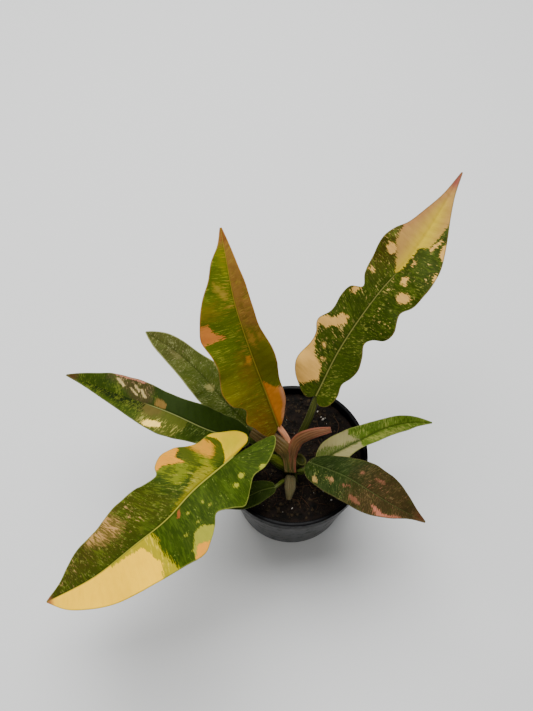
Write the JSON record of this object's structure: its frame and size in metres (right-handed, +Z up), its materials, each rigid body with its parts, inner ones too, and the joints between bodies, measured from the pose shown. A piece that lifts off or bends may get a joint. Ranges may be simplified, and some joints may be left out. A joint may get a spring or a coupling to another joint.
{
  "type": "potted philodendron plant",
  "caption": "Young variegated philodendron with long wavy leaves, rooted in soil in a round black nursery pot.",
  "frame": {"origin": "middle of the pot's flat underside, on the surface it stands on", "axes": "+Z up, out of the pot's mouth; -Y towards the side with the dry cataphyll, +X towards the two short bronze and cream leaves"},
  "size_m": [0.2759, 0.2622, 0.2325],
  "materials": {
    "pot_plastic": "thin moulded polypropylene, satin",
    "peat_soil": "damp peat and bark crumb with perlite",
    "stem_green": "living stem skin, semi-matt",
    "leaf_olive": "waxy leaf with cream and pink sectors",
    "leaf_orange": "waxy new leaf, orange to olive",
    "leaf_dark": "waxy leaf, dark green with cream streaks",
    "leaf_yellow_green": "waxy leaf, green with yellow sectors",
    "leaf_cream_green": "waxy leaf, half cream and half green",
    "leaf_bronze": "waxy leaf, bronze with pink streaks",
    "cataphyll_rosy": "papery sheath, pinkish brown",
    "cataphyll_straw": "dried sheath, straw grey"
  },
  "bodies": {
    "root": {"pot": "pot_plastic", "soil": "peat_soil", "stem": "stem_green", "leaf_back_right": "leaf_olive", "leaf_back_middle": "leaf_orange", "leaf_back_left": "leaf_dark", "leaf_left": "leaf_dark", "leaf_front_left": "leaf_yellow_green", "leaf_right": "leaf_cream_green", "leaf_front_right": "leaf_bronze", "leaf_small_low": "leaf_dark", "cataphyll_open": "cataphyll_rosy", "cataphyll_dry": "cataphyll_straw"}
  },
  "joints": []
}
